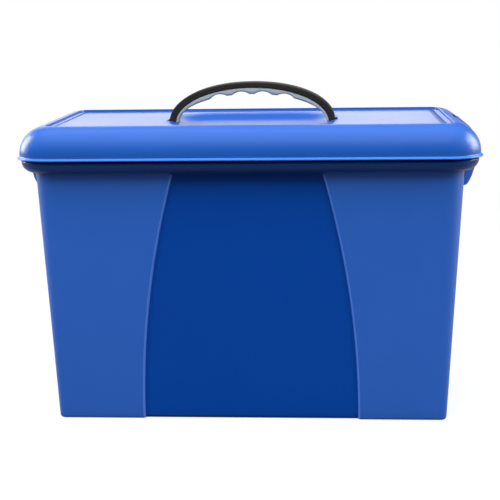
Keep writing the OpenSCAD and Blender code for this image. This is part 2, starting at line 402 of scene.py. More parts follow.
@dataclass(frozen=True)
class Finishes:
    """Every material of the box."""

    flank: bpy.types.Material
    panel: bpy.types.Material
    rim: bpy.types.Material
    edge: bpy.types.Material
    lip: bpy.types.Material
    recess: bpy.types.Material
    tray: bpy.types.Material
    well: bpy.types.Material
    lid: bpy.types.Material
    latch: bpy.types.Material
    strap: bpy.types.Material
    grip: bpy.types.Material
    rail: bpy.types.Material
    pin: bpy.types.Material

    @staticmethod
    def make() -> "Finishes":
        """Build the materials once.

        Returns:
            All of them.
        """
        return Finishes(
            flank=MouldedPlastic(
                "grained_blue_plastic", (0.021, 0.125, 0.56), (0.034, 0.147, 0.62), roughness=0.48,
                grain_mm=0.9, grain_depth=0.08, specular=0.30, gap_shade=0.75, reach_mm=3.5).build(),
            panel=MouldedPlastic(
                "smooth_blue_panel", (0.001, 0.064, 0.400), (0.003, 0.074, 0.440), roughness=0.42,
                grain_mm=1.6, grain_depth=0.02, specular=0.09, gap_shade=0.95, reach_mm=6.5).build(),
            # The rim's darker copy of the blue plastic paints the shade under the lid's lip.
            rim=MouldedPlastic(
                "rim_plastic_painted_shade", (0.010, 0.050, 0.225), (0.014, 0.060, 0.255), roughness=0.36,
                grain_mm=1.4, grain_depth=0.015, specular=0.09, gap_shade=0.95, reach_mm=5.0).build(),
            # A brighter copy of the blue plastic paints the highlight on the panel's edges and on the
            # latches' ends.
            edge=MouldedPlastic(
                "blue_edge_painted_highlight", (0.075, 0.240, 0.86), (0.100, 0.270, 0.90), roughness=0.34,
                grain_mm=1.2, grain_depth=0.01, specular=0.30, gap_shade=0.0).build(),
            # A brighter copy paints the highlight on the upward faces of the lid's lip.
            lip=MouldedPlastic(
                "lip_plastic_painted_highlight", (0.022, 0.165, 0.64), (0.032, 0.185, 0.68), roughness=0.34,
                grain_mm=1.2, grain_depth=0.01, specular=0.25, gap_shade=0.0).build(),
            recess=MouldedPlastic(
                "blue_plastic_in_shade", (0.010, 0.060, 0.37), (0.014, 0.070, 0.41), roughness=0.55,
                grain_mm=1.4, grain_depth=0.02, specular=0.04, gap_shade=0.85, reach_mm=9.0).build(),
            # A darker copy of the lid's plastic, with a finer grain, paints down the light that falls on the
            # tray's top.
            tray=MouldedPlastic(
                "fine_grained_tray_painted_shade", (0.008, 0.064, 0.315), (0.012, 0.076, 0.35), roughness=0.30,
                grain_mm=0.8, grain_depth=0.02, specular=0.20, gap_shade=0.8, reach_mm=3.0).build(),
            # A darker copy of the lid's plastic paints the shade in the hand well.
            well=MouldedPlastic(
                "well_plastic_painted_shade", (0.009, 0.076, 0.380), (0.013, 0.086, 0.41), roughness=0.34,
                grain_mm=1.4, grain_depth=0.015, specular=0.07, gap_shade=0.8, reach_mm=3.0).build(),
            lid=MouldedPlastic(
                "blue_lid_plastic", (0.012, 0.096, 0.440), (0.018, 0.110, 0.480), roughness=0.34,
                grain_mm=1.4, grain_depth=0.015, specular=0.20, gap_shade=0.8, reach_mm=3.5).build(),
            latch=MouldedPlastic(
                "blue_latch_plastic", (0.014, 0.100, 0.450), (0.020, 0.115, 0.50), roughness=0.34,
                grain_mm=1.2, grain_depth=0.02, specular=0.22, gap_shade=0.3, reach_mm=3.0).build(),
            strap=MouldedPlastic(
                "satin_black_plastic", (0.026, 0.025, 0.022), (0.040, 0.038, 0.034), roughness=0.55,
                grain_mm=0.8, grain_depth=0.03, specular=0.03, gap_shade=0.5, reach_mm=3.0).build(),
            grip=SoftGrip("soft_grey_grip", (0.49, 0.505, 0.46), (0.34, 0.35, 0.32)).build(),
            rail=PlatedSteel(
                "zinc_plated_strip", (0.60, 0.61, 0.63), (0.42, 0.43, 0.46),
                lines=(1.0, 0.02, 1.0), roughness=0.32).build(),
            pin=PlatedSteel(
                "drawn_steel_wire", (0.62, 0.62, 0.64), (0.45, 0.45, 0.48),
                lines=(1.0, 0.01, 1.0), roughness=0.25).build(),
        )


# Mesh tools


def arc(cx: float, cz: float, radius: float, start: float, end: float, steps: int) -> list[Point2]:
    """Return points on an arc.

    Args:
        cx: The centre's first coordinate.
        cz: The centre's second coordinate.
        radius: The radius.
        start: The first angle, in degrees.
        end: The last angle, in degrees.
        steps: How many steps are between them.

    Returns:
        The points, both ends included.
    """
    turns = [math.radians(start + (end - start) * i / steps) for i in range(steps + 1)]
    return [(cx + radius * math.cos(t), cz + radius * math.sin(t)) for t in turns]


def stages(start: float, end: float, steps: int) -> list[float]:
    """Return evenly spaced values from start to end, without start itself."""
    return [start + (end - start) * i / steps for i in range(1, steps + 1)]


class Shell:
    """A mesh under construction, in millimetres."""

    def __init__(self) -> None:
        """Start empty."""
        self.points: list[Point3] = []
        self.faces: list[tuple[list[int], int]] = []

    def loop(self, points: Iterable[Point3]) -> list[int]:
        """Add points and return their numbers.

        Args:
            points: The points.

        Returns:
            Their numbers.
        """
        start = len(self.points)
        self.points.extend(points)
        return list(range(start, len(self.points)))

    def cap(self, loop: list[int]) -> None:
        """Close a loop with one face."""
        self.faces.append((loop, 0))

    def stack(self, loops: list[list[int]], slots: Optional[SlotRule]) -> None:
        """Join each loop to the next one with quads.

        Args:
            loops: The loops in order, all of the same length.
            slots: Gives a quad's material number from its row and its place in the row.
        """
        for row, (first, second) in enumerate(zip(loops, loops[1:])):
            for i in range(len(first)):
                j = (i + 1) % len(first)
                slot = slots(row, i) if slots else 0
                self.faces.append(([first[i], first[j], second[j], second[i]], slot))

    def mesh(self, name: str) -> bpy.types.Mesh:
        """Turn the points and faces into a mesh in metres, with its faces outwards.

        Args:
            name: The mesh's name.

        Returns:
            The mesh.
        """
        data = bpy.data.meshes.new(name)
        data.from_pydata([tuple(c * MM for c in p) for p in self.points], [], [f for f, _ in self.faces])
        for polygon, (_, slot) in zip(data.polygons, self.faces):
            polygon.material_index = slot
        work = bmesh.new()
        work.from_mesh(data)
        bmesh.ops.remove_doubles(work, verts=work.verts, dist=0.000002)
        bmesh.ops.recalc_face_normals(work, faces=work.faces)
        work.to_mesh(data)
        work.free()
        return data

    def piece(self, name: str) -> bpy.types.Object:
        """Turn the points and faces into an object in the scene.

        Args:
            name: The object's name.

        Returns:
            The object.
        """
        made = bpy.data.objects.new(name, self.mesh(name))
        bpy.context.scene.collection.objects.link(made)
        return made


def loft(name: str, rings: Iterable[Iterable[Point3]], slots: Optional[SlotRule] = None) -> bpy.types.Object:
    """Make a closed skin through rings of points, with a flat face at each end.

    Args:
        name: The object's name.
        rings: The rings in order, all with the same number of points.
        slots: Gives a quad's material number from its row and its place in the row.

    Returns:
        The object.
    """
    shell = Shell()
    loops = [shell.loop(ring) for ring in rings]
    shell.stack(loops, slots)
    shell.cap(loops[0])
    shell.cap(loops[-1])
    return shell.piece(name)


@dataclass(frozen=True)
class Column:
    """One place on a rounded rectangle: a point on the rectangle of corner centres, and the way out from it.

    The lane counts along the front and back, and is -1 elsewhere.
    """

    px: float
    py: float
    dx: float
    dy: float
    lane: int = -1


@dataclass
class Plan:
    """The rounded rectangle that the tub and the lid share."""

    half_x: float = 186.5
    half_y: float = 84.0
    turn_steps: int = 14
    lanes: int = 12
    side_steps: int = 8

    def columns(self) -> list[Column]:
        """Go once round the plan, from the front's left end.

        Returns:
            The columns. Those on the front and back carry a lane number from 0 to lanes.
        """
        out: list[Column] = []
        for sign in (-1, 1):
            for i in range(self.lanes + 1):
                lane = i if sign < 0 else self.lanes - i
                out.append(Column(-1 + 2 * lane / self.lanes, sign, 0.0, float(sign), lane))
            for i in range(1, self.turn_steps):
                t = math.radians((-90 if sign < 0 else 90) + 90 * i / self.turn_steps)
                out.append(Column(-sign, sign, math.cos(t), math.sin(t)))
            for i in range(self.side_steps + 1):
                out.append(Column(-sign, sign * (1 - 2 * i / self.side_steps), float(-sign), 0.0))
            for i in range(1, self.turn_steps):
                t = math.radians((0 if sign < 0 else 180) + 90 * i / self.turn_steps)
                out.append(Column(-sign, -sign, math.cos(t), math.sin(t)))
        return out

    def ring(self, u: float, z: float, halves: Optional[Point2] = None) -> list[Point3]:
        """Return the ring of points a distance out from the corner centres.

        Args:
            u: The distance out.
            z: The height.
            halves: Half the length and width between other corner centres, if not the plan's own.

        Returns:
            The points.
        """
        half_x, half_y = halves or (self.half_x, self.half_y)
        return [(c.px * half_x + c.dx * u, c.py * half_y + c.dy * u, z) for c in self.columns()]


def prism(name: str, outline: list[Point2], low: float, high: float, flip: bool = False) -> bpy.types.Object:
    """Make a prism along Y from an outline in X and Z.

    Args:
        name: The object's name.
        outline: The outline's points.
        low: The first Y.
        high: The last Y.
        flip: Whether X is mirrored.

    Returns:
        The object.
    """
    sign = -1 if flip else 1
    return loft(name, ([(sign * x, y, z) for x, z in outline] for y in (low, high)))


def upright(name: str, outline: list[Point2], low: float, high: float) -> bpy.types.Object:
    """Make a prism along Z from an outline in X and Y.

    Args:
        name: The object's name.
        outline: The outline's points.
        low: The first Z.
        high: The last Z.

    Returns:
        The object.
    """
    return loft(name, ([(x, y, z) for x, y in outline] for z in (low, high)))


def block(name: str, side: Side, span: Point2, half_y: float, heights: Point2) -> bpy.types.Object:
    """Make a cutting block on one side of the box, centred on Y.

    Args:
        name: The object's name.
        side: Which side.
        span: How far from the middle it starts and ends.
        half_y: Half its width.
        heights: Its lowest and highest Z.

    Returns:
        The object.
    """
    low, high = sorted(side.value * x for x in span)
    return upright(name, [(low, -half_y), (high, -half_y), (high, half_y), (low, half_y)], *heights)


def settle(piece: bpy.types.Object) -> None:
    """Apply a piece's modifiers to its mesh.

    Args:
        piece: The piece.
    """
    depsgraph = bpy.context.evaluated_depsgraph_get()
    done = bpy.data.meshes.new_from_object(piece.evaluated_get(depsgraph))
    piece.modifiers.clear()
    old = piece.data
    piece.data = done
    bpy.data.meshes.remove(old)


def carve(piece: bpy.types.Object, tools: Iterable[bpy.types.Object], operation: str = "DIFFERENCE") -> None:
    """Cut a piece with other objects, or join them to it, and remove them.

    Args:
        piece: The piece.
        tools: The other objects.
        operation: DIFFERENCE or UNION.
    """
    for tool in tools:
        cut = piece.modifiers.new(tool.name, "BOOLEAN")
        cut.operation = operation
        cut.solver = "EXACT"
        cut.object = tool
        settle(piece)
        bpy.data.objects.remove(tool)


def merge(piece: bpy.types.Object, others: Iterable[bpy.types.Object]) -> None:
    """Join other objects' meshes to a piece as they are.

    Args:
        piece: The piece.
        others: The other objects, which are removed.
    """
    work = bmesh.new()
    work.from_mesh(piece.data)
    for other in others:
        work.from_mesh(other.data)
        bpy.data.objects.remove(other)
    work.to_mesh(piece.data)
    work.free()


def soften(piece: bpy.types.Object, edge: Edge, angle: float = 35.0, steps: int = 2) -> None:
    """Bevel a piece's sharp edges.

    Args:
        piece: The piece.
        edge: How much.
        angle: The least angle that counts as sharp, in degrees.
        steps: Segments of the bevel.
    """
    bevel = piece.modifiers.new("soften", "BEVEL")
    bevel.width = edge.value * MM
    bevel.segments = steps
    bevel.limit_method = "ANGLE"
    bevel.angle_limit = math.radians(angle)
    bevel.use_clamp_overlap = True
    settle(piece)


def paint(piece: bpy.types.Object, slot: int, test: Callable[[Vector, Vector], bool]) -> None:
    """Give some of a piece's faces another of its materials.

    Args:
        piece: The piece.
        slot: The material's number.
        test: Tells from a face's centre, in millimetres, and its normal whether it is meant.
    """
    for polygon in piece.data.polygons:
        if test(polygon.center / MM, polygon.normal):
            polygon.material_index = slot


def dress(piece: bpy.types.Object, materials: Iterable[bpy.types.Material], body: str, nodes: Iterable[str],
          crease: float = 32.0) -> None:
    """Give a piece its materials and its place in the frame.

    Args:
        piece: The piece.
        materials: Its materials.
        body: The body that it rides on.
        nodes: The CAD nodes that it replaces.
        crease: The angle from which an edge looks sharp, in degrees.
    """
    for material in materials:
        piece.data.materials.append(material)
    piece.data.shade_smooth()
    piece.data.set_sharp_from_angle(angle=math.radians(crease))
    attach(piece, body)
    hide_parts(*nodes)
    log.info("%s: %d faces, in place of %s", piece.name, len(piece.data.polygons), ", ".join(nodes))


# The box


@dataclass
class Tub:
    """The tub: drafted walls with a sunk middle panel, a rolled rim and pockets for the rails."""

    plan: Plan = field(default_factory=lambda: Plan(lanes=34))
    wall: float = 2.6
    slope: float = math.tan(math.radians(2.9))
    neck_u: float = 19.0
    neck_z: float = 249.0
    rim_z: float = 262.0
    roll_u: float = 21.4
    roll_z: float = 260.0
    roll_r: float = 11.0
    sink: float = 3.0
    panel_half: float = 104.8
    panel_arc: float = 890.0
    panel_top: float = 246.9
    panel_lanes: int = 5
    panel_edges: tuple[Point2, ...] = (
        (4.3, 0.0), (3.1, 0.0), (2.5, 0.07), (1.9, 0.24), (1.1, 0.76), (0.7, 0.93), (0.2, 1.0), (-1.3, 1.0))
    base_rows: int = 3
    panel_inset: float = 1.1
    base_r: float = 3.2
    floor_t: float = 2.8
    floor_r: float = 3.0
    pocket_r: float = 16.4
    pocket_x: Point2 = (189.8, 198.2)
    groove_x: Point2 = (192.85, 195.15)
    pocket_y: float = 90.5
    groove_y: float = 96.65
    groove_z: float = 237.0
    pocket_z: Point2 = (229.0, 249.4)

    def wall_u(self, z: float) -> float:
        """Return how far out the wall's face is at a height."""
        return self.neck_u - (self.neck_z - z) * self.slope

    def panel_edge(self, z: float) -> float:
        """Return the sunk panel's half width at a height."""
        return self.panel_half - self.panel_arc + math.sqrt(self.panel_arc ** 2 - min(z, self.neck_z) ** 2)

    def lane_place(self, lane: int, z: float, shift: float) -> Point2:
        """Return a lane's x and how much of the panel's depth it has.

        The lanes run evenly over a flank, close together down the panel's edge, and evenly over the panel.

        Args:
            lane: The lane's number.
            z: The height.
            shift: How far the panel's edge is moved out.

        Returns:
            The x, and the depth from 0 to 1.
        """
        steps = self.panel_edges
        middle = self.plan.lanes // 2
        place = middle - abs(lane - middle)
        sign = -1 if lane < middle else 1
        edge = self.panel_edge(z) + shift
        flank = middle - len(steps) - self.panel_lanes
        if place < flank:
            x = self.plan.half_x + (edge + steps[0][0] - self.plan.half_x) * place / flank
            return sign * x, 0.0
        if place < flank + len(steps):
            out, depth = steps[place - flank]
            return sign * (edge + out), depth
        if lane == middle:
            return 0.0, 1.0
        inner = edge + steps[-1][0]
        return sign * inner * (1 - (place - flank - len(steps) + 1) / (self.panel_lanes + 1)), 1.0

    def row(self, u: float, z: float, depth: float, shift: float = 0.0,
            level: Optional[float] = None) -> list[Point3]:
        """Return a row of points round the tub.

        Args:
            u: The distance out from the corner centres.
            z: The height.
            depth: The panel's depth in this row.
            shift: How far the panel's edge is moved out.
            level: The height that gives the panel's width, if not z.

        Returns:
            The points.
        """
        out: list[Point3] = []
        at = z if level is None else level
        for c in self.plan.columns():
            x, part = c.px * self.plan.half_x + c.dx * u, 0.0
            if c.lane >= 0:
                x, part = self.lane_place(c.lane, at, shift)
            out.append((x, c.py * self.plan.half_y + c.dy * (u - depth * part), z))
        return out

    def outer_rows(self) -> list[list[Point3]]:
        """Go from the middle of the underside up the walls and over the rim.

        Returns:
            The rows of points.
        """
        top = self.panel_top
        foot = self.wall_u(self.base_r) - self.base_r
        # The underside, the rounded foot and the wall
        rows = [self.row(foot - inset, 0.0, self.sink) for inset in (60.0, 30.0, 8.0, 1.5)]
        rows += [self.row(u, z, self.sink) for u, z in arc(foot, self.base_r, self.base_r, -90, 0, 6)]
        rows += [self.row(self.wall_u(z), z, self.sink) for z in stages(self.base_r, top, 26)]
        # The step at the panel's top
        for up, part in ((0.15, 0.93), (0.35, 0.5), (0.55, 0.07), (0.7, 0.0), (1.7, 0.0)):
            rows.append(self.row(self.wall_u(top + up), top + up, self.sink * part, level=top))
        # The neck's groove, the roll of the rim and its crown
        neck = ((0.0, 1.4), (0.25, 1.9), (1.0, 1.9), (1.3, 1.4), (1.4, 0.35), (1.7, 0.05))
        rim = [(self.neck_u + out, self.neck_z + up) for out, up in neck]
        rim += arc(self.roll_u, self.roll_z, self.roll_r, -90, -6, 12)
        crown = ((0.05, 2.6), (0.35, 1.7), (1.0, 0.9), (1.7, 0.4), (2.1, 0.0), (2.35, 0.0), (self.wall, 0.3))
        rim += [(self.roll_u + self.roll_r - back, self.rim_z - down) for back, down in crown]
        return rows + [self.row(u, z, 0.0, level=top) for u, z in rim]

    def inner_rows(self) -> list[list[Point3]]:
        """Go from inside the rim down the walls to the middle of the floor.

        Returns:
            The rows of points.
        """
        shift, top = self.panel_inset, self.panel_top
        # Inside the roll
        roll = arc(self.roll_u, self.roll_z, self.roll_r - self.wall, 0, -90, 10)
        rows = [self.row(u, z, 0.0, shift, top) for u, z in roll]
        # The step at the panel's top, then the wall
        for up, part in ((1.0, 0.0), (0.6, 0.0), (0.45, 0.15), (0.15, 0.85), (0.0, 1.0)):
            rows.append(self.row(self.neck_u - self.wall, self.neck_z + up, self.sink * part, shift, top))
        low = self.floor_t + self.floor_r
        foot = self.wall_u(low) - self.wall
        for z in stages(self.neck_z, low, 20):
            rows.append(self.row(self.wall_u(z) - self.wall, z, self.sink, shift, min(z, top)))
        # The rounded corner and the floor
        turn = arc(foot - self.floor_r, low, self.floor_r, 0, -90, 5)
        turn += [(foot - inset, self.floor_t) for inset in (12.0, 30.0, 60.0)]
        return rows + [self.row(u, z, self.sink, shift) for u, z in turn]

    def shell(self) -> bpy.types.Object:
        """Build the tub's walls, rim and floor as one closed skin.

        Returns:
            The tub.
        """
        outer, inner = self.outer_rows(), self.inner_rows()
        heights = [row[0][2] for row in outer]
        panel_end = next(i for i, z in enumerate(heights) if z > self.panel_top + 0.1)
        rim_start = next(i for i, z in enumerate(heights) if z > self.neck_z)
        depths = [self.lane_place(c.lane, 0.0, 0.0)[1] if c.lane >= 0 else 0.0 for c in self.plan.columns()]
        pairs = [a + b for a, b in zip(depths, depths[1:] + depths[:1])]

        def finish(row: int, i: int) -> int:
            """Return the finish of a quad.

            Args:
                row: The quad's row.
                i: Its place in the row.

            Returns:
                0 for the flank's, 1 for the panel's, 2 for the panel edge's brighter copy, which paints its
                highlight, and 3 for the rim's darker copy, which paints the shade under the lid's lip.
            """
            if rim_start <= row < len(outer):
                return 3
            if row < self.base_rows or row >= len(outer) or pairs[i] == 0.0:
                return 0
            return 1 if pairs[i] > 1.5 or row >= panel_end else 2

        return loft("tub_shell", outer + inner, finish)

    def pocket(self, side: Side, sy: int) -> bpy.types.Object:
        """Build one of the moulded pockets that a rail's end sits in.

        Args:
            side: Which end.
            sy: -1 at the front, 1 at the back.

        Returns:
            The pocket.
        """
        near, far = self.pocket_x
        left, right = self.groove_x
        face = self.pocket_y
        half_x, half_y = self.plan.half_x, self.plan.half_y
        reach = [(x, half_y + math.sqrt(self.pocket_r ** 2 - (x - half_x) ** 2))
                 for x in (far, half_x + 9.0, half_x + 6.0, near)]
        groove = [(left, face), (left, self.groove_y), (right, self.groove_y), (right, face)]
        foot = [(near, face), (far, face)] + reach
        cup = [(near, face)] + groove + [(far, face)] + reach
        low, high = self.pocket_z
        parts = [upright("pocket", [(side.value * x, sy * y) for x, y in shape], start, end)
                 for shape, start, end in ((foot, low, self.groove_z), (cup, self.groove_z - 0.1, high))]
        for part in parts:
            soften(part, Edge.CRISP, angle=40.0)
        merge(parts[0], parts[1:])
        return parts[0]

    def build(self, finishes: Finishes) -> None:
        """Build and dress the tub.

        Args:
            finishes: The materials.
        """
        tub = self.shell()
        merge(tub, [self.pocket(side, sy) for side in Side for sy in (-1, 1)])
        # The panel's edges get a brighter copy that paints their highlight, and the rim a darker copy that
        # paints the shade under the lid's lip.
        materials = [finishes.flank, finishes.panel, finishes.edge, finishes.rim]
        dress(tub, materials, "box", ["tub"])


@dataclass
class Lid:
    """The lid: rounded shoulders, a sunk tray, a hand well, latch housings and slots for the strap."""

    plan: Plan = field(default_factory=lambda: Plan(turn_steps=18, lanes=14, side_steps=10))
    rim_z: float = 262.0
    wall: float = 2.6
    dome_u: float = 7.0
    dome_z: float = 266.0
    dome_r: float = 27.0
    tray_z: float = 290.3
    ledge_z: float = 290.7
    ledge_w: float = 4.5
    ledge_u: float = 8.3
    groove: float = 0.9
    lip_u: float = 36.0
    skirt_u: float = 28.4
    skirt_t: float = 2.0
    skirt_z: float = 257.0
    well_half: Point2 = (36.0, 22.0)
    well_r: float = 50.0
    well_slope: float = 24.0
    well_sink: float = 6.3
    pin_x: float = 208.0
    pin_z: float = 282.0
    cavity_r: float = 8.6
    room_depth: float = 4.9
    mouth_x: float = 202.7
    mouth_r: float = 183.0
    beyond_x: float = 253.0
    latch_half: float = 48.0
    cheek: float = 3.5
    slot_x: Point2 = (76.2, 86.2)
    slot_y: float = 13.5
    pad_x: Point2 = (69.2, 94.2)
    pad_y: float = 20.0
    pad_z: float = 284.0
    peg: Point2 = (88.8, 15.5)

    @property
    def dome_x(self) -> float:
        """The x of the shoulder's centre on the right."""
        return self.plan.half_x + self.dome_u

    @property
    def tray_edge(self) -> float:
        """How far the tray's edge is from the corner centres."""
        return self.ledge_u - self.ledge_w

    def bowl(self, drop: float, out: float, steps: int) -> list[Point2]:
        """Return the hand well's slope as distances out from its corner centres and heights.

        Args:
            drop: How much lower it is.
            out: How much wider it is.
            steps: How many steps the slope has.

        Returns:
            The slope's points, from the floor up.
        """
        lip = 0.4
        return [(self.well_r - self.well_slope + out + self.well_slope * i / steps,
                 self.tray_z - drop - lip - (self.well_sink - lip) * (1 + math.cos(math.pi * i / steps)) / 2)
                for i in range(steps + 1)]

    def top_rings(self) -> list[list[Point3]]:
        """Go from the middle of the hand well out over the tray.

        Returns:
            The rings of points.
        """
        rim = self.well_r + 0.9
        slope = [(u, self.tray_z - self.well_sink) for u in (2.0, 14.0)] + self.bowl(0.0, 0.0, 16)
        slope += [(rim - 0.55, self.tray_z - 0.08), (rim, self.tray_z)]
        rings = [self.plan.ring(u, z, self.well_half) for u, z in slope]
        for part in (0.25, 0.5, 0.75, 0.95):
            half_x, half_y = (well + (whole - well) * part
                              for well, whole in zip(self.well_half, (self.plan.half_x, self.plan.half_y)))
            out = rim + (self.tray_edge - 2.0 - rim) * part
            rings.append(self.plan.ring(out, self.tray_z, (half_x, half_y)))
        return rings

    def outside(self) -> list[Point2]:
        """Go from the groove at the tray's edge over the dome and the lip to the skirt's foot.

        Returns:
            The profile, as distances out from the corner centres and heights.
        """
        edge, skirt, foot = self.tray_edge, self.skirt_u, self.skirt_z
        low = self.tray_z - self.groove
        # The groove, the ledge and the step up to the dome
        points = [(edge - 2.2, self.tray_z), (edge - 1.8, self.tray_z - 0.2), (edge - 1.4, low),
                  (edge - 0.8, low), (edge - 0.45, self.ledge_z - 0.2), (edge - 0.2, self.ledge_z)]
        ledge = ((1.0, 0.0), (0.55, 0.12), (0.35, 0.5), (0.25, 1.65), (0.1, 2.05), (-0.25, 2.23))
        points += [(self.ledge_u - back, self.ledge_z + up) for back, up in ledge]
        start = self.dome_u + 2.1
        points.append((start, self.dome_z + math.sqrt(self.dome_r ** 2 - (start - self.dome_u) ** 2) - 0.01))
        points += arc(self.dome_u, self.dome_z, self.dome_r, 83.5, 0, 26)
        # The bead on the lip, given inwards and upwards from the lip's lower edge
        bead = ((2.0, 3.2), (1.95, 2.75), (1.7, 2.4), (1.15, 1.95), (0.45, 1.4), (0.1, 1.0), (0.0, 0.6),
                (0.1, 0.25), (0.4, 0.02), (1.1, 0.0))
        points += [(self.lip_u - back, self.rim_z + up) for back, up in bead]
        # The lip's underside and the skirt
        points += [(skirt + 0.3, self.rim_z), (skirt, self.rim_z - 0.3), (skirt, foot + 0.5),
                   (skirt - 0.5, foot), (skirt - self.skirt_t + 0.4, foot)]
        return points

    def solid(self) -> bpy.types.Object:
        """Build the lid's outside as a solid."""
        return loft("lid_shell", self.top_rings() + [self.plan.ring(u, z) for u, z in self.outside()])

    def hollow(self) -> bpy.types.Object:
        """Build the space under the lid, without its housings and pads.

        Returns:
            The space, as a solid to cut with.
        """
        inner = self.skirt_u - self.skirt_t
        roof = self.tray_z - self.wall
        profile = [(inner - 0.3, self.skirt_z - 7.0), (inner, self.skirt_z + 0.4), (inner, self.rim_z + 1.6),
                   (self.skirt_u + 0.6, self.dome_z + 0.2)]
        profile += arc(self.dome_u, self.dome_z, self.dome_r - self.wall, 0, 62, 12)
        profile += [(self.dome_u + 8.0, roof), (2.0, roof)]
        hollow = loft("hollow", (self.plan.ring(u, z) for u, z in profile))
        carve(hollow, [self.under_well()] + [self.housing(side) for side in Side])
        carve(hollow, [block("pad", side, self.pad_x, self.pad_y, (self.pad_z, 300.0)) for side in Side])
        return hollow

    def under_well(self) -> bpy.types.Object:
        """Build the hand well's underside.

        Returns:
            The underside, as a solid.
        """
        over = self.tray_z + 1.0
        profile = [(4.0, self.tray_z - self.wall - self.well_sink)] + self.bowl(self.wall, 1.2, 12)
        profile += [(self.well_r + 1.4, over), (4.0, over)]
        return loft("under_well", (self.plan.ring(u, z, self.well_half) for u, z in profile))

    def housing(self, side: Side) -> bpy.types.Object:
        """Build the solid material round a latch.

        Args:
            side: Which end.

        Returns:
            The housing.
        """
        outline = arc(self.dome_x, self.dome_z, self.dome_r - self.room_depth - self.wall, 0, 16.5, 4)
        outline += arc(self.pin_x, self.pin_z, self.cavity_r + self.wall, 291.9, 122.6, 20)
        outline += [(201.9, 300.0), (240.0, 300.0), (240.0, 240.0), (213.0, 240.0)]
        half = self.latch_half + self.cheek
        return prism("housing", outline, -half, half, side is Side.LEFT)

    def latch_space(self, side: Side) -> list[bpy.types.Object]:
        """Build what is cut from the lid for a latch.

        Args:
            side: Which end.

        Returns:
            The room for its barrel and plate, and the curved mouth over it.
        """
        half, far, inner = self.latch_half, self.beyond_x, self.dome_r - self.room_depth
        room = [(far, self.pin_z + 3.0)]
        room += arc(self.pin_x, self.pin_z, self.cavity_r, 20.4, 309.8, 36)
        room += arc(self.dome_x, self.dome_z, inner, 25.2, 0, 5)
        room += [(self.dome_x + inner, 250.0), (far, 250.0)]
        mouth = [(self.mouth_x + self.mouth_r - math.sqrt(self.mouth_r ** 2 - y * y), y)
                 for y in [-half] + stages(-half, half, 24)]
        mouth += [(far, half), (far, -half)]
        return [prism("room", room, -half, half, side is Side.LEFT),
                upright("mouth", [(side.value * x, y) for x, y in mouth], self.pin_z, 320.0)]

    def in_recess(self, centre: Vector) -> bool:
        """Tell whether a face is in the space round a latch.

        Args:
            centre: The face's centre, in millimetres.

        Returns:
            Whether it is.
        """
        near = math.hypot(abs(centre.x) - self.dome_x, centre.z - self.dome_z) < self.dome_r - 0.6
        in_span = abs(centre.y) < self.latch_half + 0.3 and abs(centre.x) > self.pin_x - 10.0
        return near and in_span and centre.z > self.rim_z + 0.5

    def in_well(self, centre: Vector) -> bool:
        """Tell whether a face is over the hand well and below the tray.

        Args:
            centre: The face's centre, in millimetres.

        Returns:
            Whether it is.
        """
        over = all(abs(place) < half + self.well_r + 1.5 for place, half in zip(centre, self.well_half))
        return over and self.tray_z - self.well_sink - 0.5 < centre.z < self.tray_z - 0.3

    def pegs(self) -> list[bpy.types.Object]:
        """Build the staked pegs that hold the keepers.

        Returns:
            The pegs.
        """
        x, y = self.peg
        turned = ((2.0, 284.5), (2.0, 281.0), (3.0, 281.0), (3.3, 280.7), (3.2, 280.1), (2.2, 279.8))
        pegs = []
        for cx, cy in ((-x, -y), (-x, y), (x, -y), (x, y)):
            rings = ([(px, py, z) for px, py in arc(cx, cy, r, 0, 345, 23)] for r, z in turned)
            pegs.append(loft("peg", rings))
        return pegs

    def build(self, finishes: Finishes) -> None:
        """Build and dress the lid.

        Args:
            finishes: The materials.
        """
        lid = self.solid()
        carve(lid, [self.hollow()])
        carve(lid, [block("slot", side, self.slot_x, self.slot_y, (260.0, 310.0)) for side in Side])
        for side in Side:
            carve(lid, self.latch_space(side))
        merge(lid, self.pegs())
        # Painted light: a brighter copy on the upper faces of the lip's bead paints its highlight, darker
        # copies in the space round each latch and in the hand well paint their shade, and a darker copy on
        # the tray paints down the light on its top
        low, tray, high = self.rim_z + 0.8, self.tray_z - 0.3, self.ledge_z - 0.1
        paint(lid, 1, lambda centre, normal: low < centre.z < low + 1.8 and normal.z > 0.3)
        paint(lid, 2, lambda centre, normal: self.in_recess(centre))
        paint(lid, 3, lambda centre, normal: tray < centre.z < high and normal.z > 0.9)
        paint(lid, 4, lambda centre, normal: self.in_well(centre) and normal.z > 0.5)
        materials = [finishes.lid, finishes.lip, finishes.recess, finishes.tray, finishes.well]
        dress(lid, materials, "cover", ["lid"], crease=30.0)


